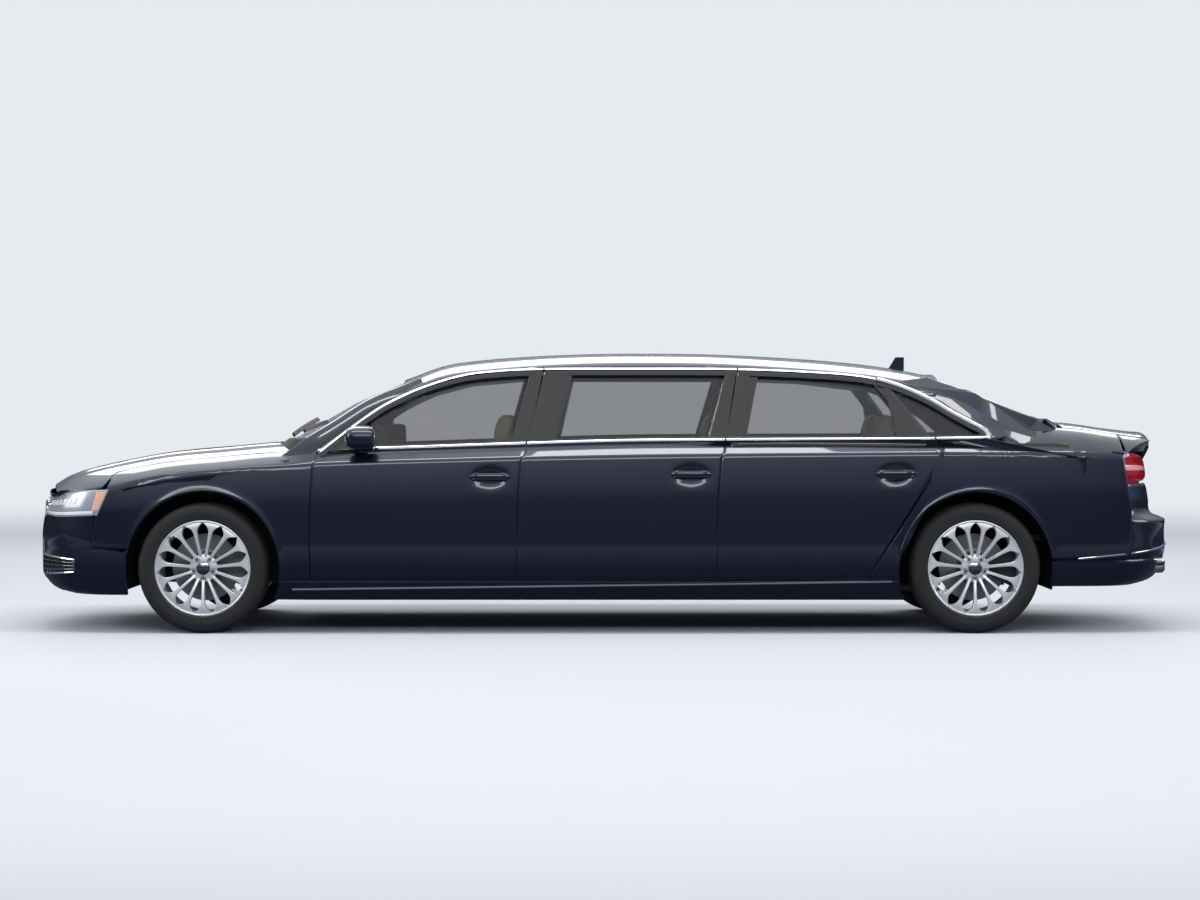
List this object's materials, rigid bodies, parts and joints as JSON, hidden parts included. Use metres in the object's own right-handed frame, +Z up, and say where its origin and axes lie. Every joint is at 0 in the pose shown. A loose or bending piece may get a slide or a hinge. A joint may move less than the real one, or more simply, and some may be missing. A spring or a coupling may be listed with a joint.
{
  "type": "six-door stretch limousine",
  "caption": "Long saloon limousine with three rows of seats, front-hinged doors along each side, opening bonnet and boot, steered and rolling wheels.",
  "frame": {"origin": "on the ground, at the middle of the length and width", "axes": "+X to the rear, +Y to the right-hand side, +Z up"},
  "size_m": [6.36, 2.189, 1.546],
  "materials": {
    "paint": "dark navy metallic paint, clear coat",
    "glass": "lightly tinted glass",
    "chrome": "bright trim",
    "lamp_clear": "clear lamp lens",
    "lamp_red": "red lamp lens",
    "trim_black": "black plastic",
    "steel": "dark coated steel",
    "cast": "cast metal",
    "alloy": "silver painted alloy",
    "tyre": "black rubber",
    "leather": "light beige leather",
    "cabin_dark": "dark soft-touch trim"
  },
  "bodies": {
    "body": {"body_sides": "paint", "front_fenders": "paint", "roof_panel": "paint", "front_bumper": "paint", "rear_bumper": "paint", "grille": "chrome", "headlamps": "lamp_clear", "tail_lamps": "lamp_red", "fixed_windows": "glass", "floor_pan": "steel", "bulkhead": "steel", "rear_deck": "cabin_dark", "wheel_liners": "trim_black", "engine_block": "cast", "front_subframe": "steel", "rear_subframe": "steel", "exhaust": "steel", "dashboard": "cabin_dark", "roof_antenna": "paint", "front_seats": "leather", "middle_seats": "leather", "rear_seats": "leather"},
    "bonnet": {"bonnet": "paint"},
    "boot_lid": {"boot_lid": "paint"},
    "steering_wheel": {"steering_wheel": "cabin_dark"},
    "front_door_left": {"front_door_left": "paint", "front_door_glass_left": "glass"},
    "front_door_right": {"front_door_right": "paint", "front_door_glass_right": "glass"},
    "middle_door_left": {"middle_door_left": "paint", "middle_door_glass_left": "glass"},
    "middle_door_right": {"middle_door_right": "paint", "middle_door_glass_right": "glass"},
    "rear_door_left": {"rear_door_left": "paint", "rear_door_glass_left": "glass"},
    "rear_door_right": {"rear_door_right": "paint", "rear_door_glass_right": "glass"},
    "front_knuckle_left": {"front_knuckle_left": "cast"},
    "front_knuckle_right": {"front_knuckle_right": "cast"},
    "front_wheel_left": {"front_wheel_left": "alloy", "front_tyre_left": "tyre"},
    "front_wheel_right": {"front_wheel_right": "alloy", "front_tyre_right": "tyre"},
    "rear_wheel_left": {"rear_wheel_left": "alloy", "rear_tyre_left": "tyre"},
    "rear_wheel_right": {"rear_wheel_right": "alloy", "rear_tyre_right": "tyre"}
  },
  "joints": [
    {"name": "front_door_left_hinge", "type": "hinge", "parent": "body", "child": "front_door_left", "pos_m": [-1.6089, -0.95748, 0.44834], "axis": [0, 0, -1], "range_deg": [0, 65]},
    {"name": "front_door_right_hinge", "type": "hinge", "parent": "body", "child": "front_door_right", "pos_m": [-1.6089, 0.95748, 0.44834], "axis": [0, 0, 1], "range_deg": [0, 65]},
    {"name": "middle_door_left_hinge", "type": "hinge", "parent": "body", "child": "middle_door_left", "pos_m": [-0.47682, -0.973, 0.44834], "axis": [0, 0, -1], "range_deg": [0, 65]},
    {"name": "middle_door_right_hinge", "type": "hinge", "parent": "body", "child": "middle_door_right", "pos_m": [-0.47682, 0.973, 0.44834], "axis": [0, 0, 1], "range_deg": [0, 65]},
    {"name": "rear_door_left_hinge", "type": "hinge", "parent": "body", "child": "rear_door_left", "pos_m": [0.61551, -0.97201, 0.44834], "axis": [0, 0, -1], "range_deg": [0, 65]},
    {"name": "rear_door_right_hinge", "type": "hinge", "parent": "body", "child": "rear_door_right", "pos_m": [0.61551, 0.97201, 0.44834], "axis": [0, 0, 1], "range_deg": [0, 65]},
    {"name": "bonnet_hinge", "type": "hinge", "parent": "body", "child": "bonnet", "pos_m": [-1.6953, 0, 0.98635], "axis": [0, 1, 0], "range_deg": [0, 50]},
    {"name": "boot_lid_hinge", "type": "hinge", "parent": "body", "child": "boot_lid", "pos_m": [2.55054, 0, 1.16027], "axis": [0, -1, 0], "range_deg": [0, 75]},
    {"name": "steering_left", "type": "hinge", "parent": "body", "child": "front_knuckle_left", "pos_m": [-2.191, -0.727, 0.356], "axis": [0, 0, 1], "range_deg": [-32, 32]},
    {"name": "steering_right", "type": "hinge", "parent": "body", "child": "front_knuckle_right", "pos_m": [-2.191, 0.727, 0.356], "axis": [0, 0, 1], "range_deg": [-32, 32]},
    {"name": "steering_wheel_turn", "type": "hinge", "parent": "body", "child": "steering_wheel", "pos_m": [-1.2561, -0.37, 0.773], "axis": [0.9063, 0, 0.4226], "range_deg": [-448, 448]},
    {"name": "front_wheel_left_spin", "type": "hinge", "parent": "front_knuckle_left", "child": "front_wheel_left", "pos_m": [-2.191, -0.822, 0.356], "axis": [0, 1, 0], "continuous": true},
    {"name": "front_wheel_right_spin", "type": "hinge", "parent": "front_knuckle_right", "child": "front_wheel_right", "pos_m": [-2.191, 0.822, 0.356], "axis": [0, 1, 0], "continuous": true},
    {"name": "rear_wheel_left_spin", "type": "hinge", "parent": "body", "child": "rear_wheel_left", "pos_m": [2.029, -0.8175, 0.356], "axis": [0, 1, 0], "continuous": true},
    {"name": "rear_wheel_right_spin", "type": "hinge", "parent": "body", "child": "rear_wheel_right", "pos_m": [2.029, 0.8175, 0.356], "axis": [0, 1, 0], "continuous": true}
  ],
  "couplings": [
    {"joint": "steering_right", "follows": "steering_left", "ratio": 1},
    {"joint": "steering_wheel_turn", "follows": "steering_left", "ratio": 14}
  ]
}
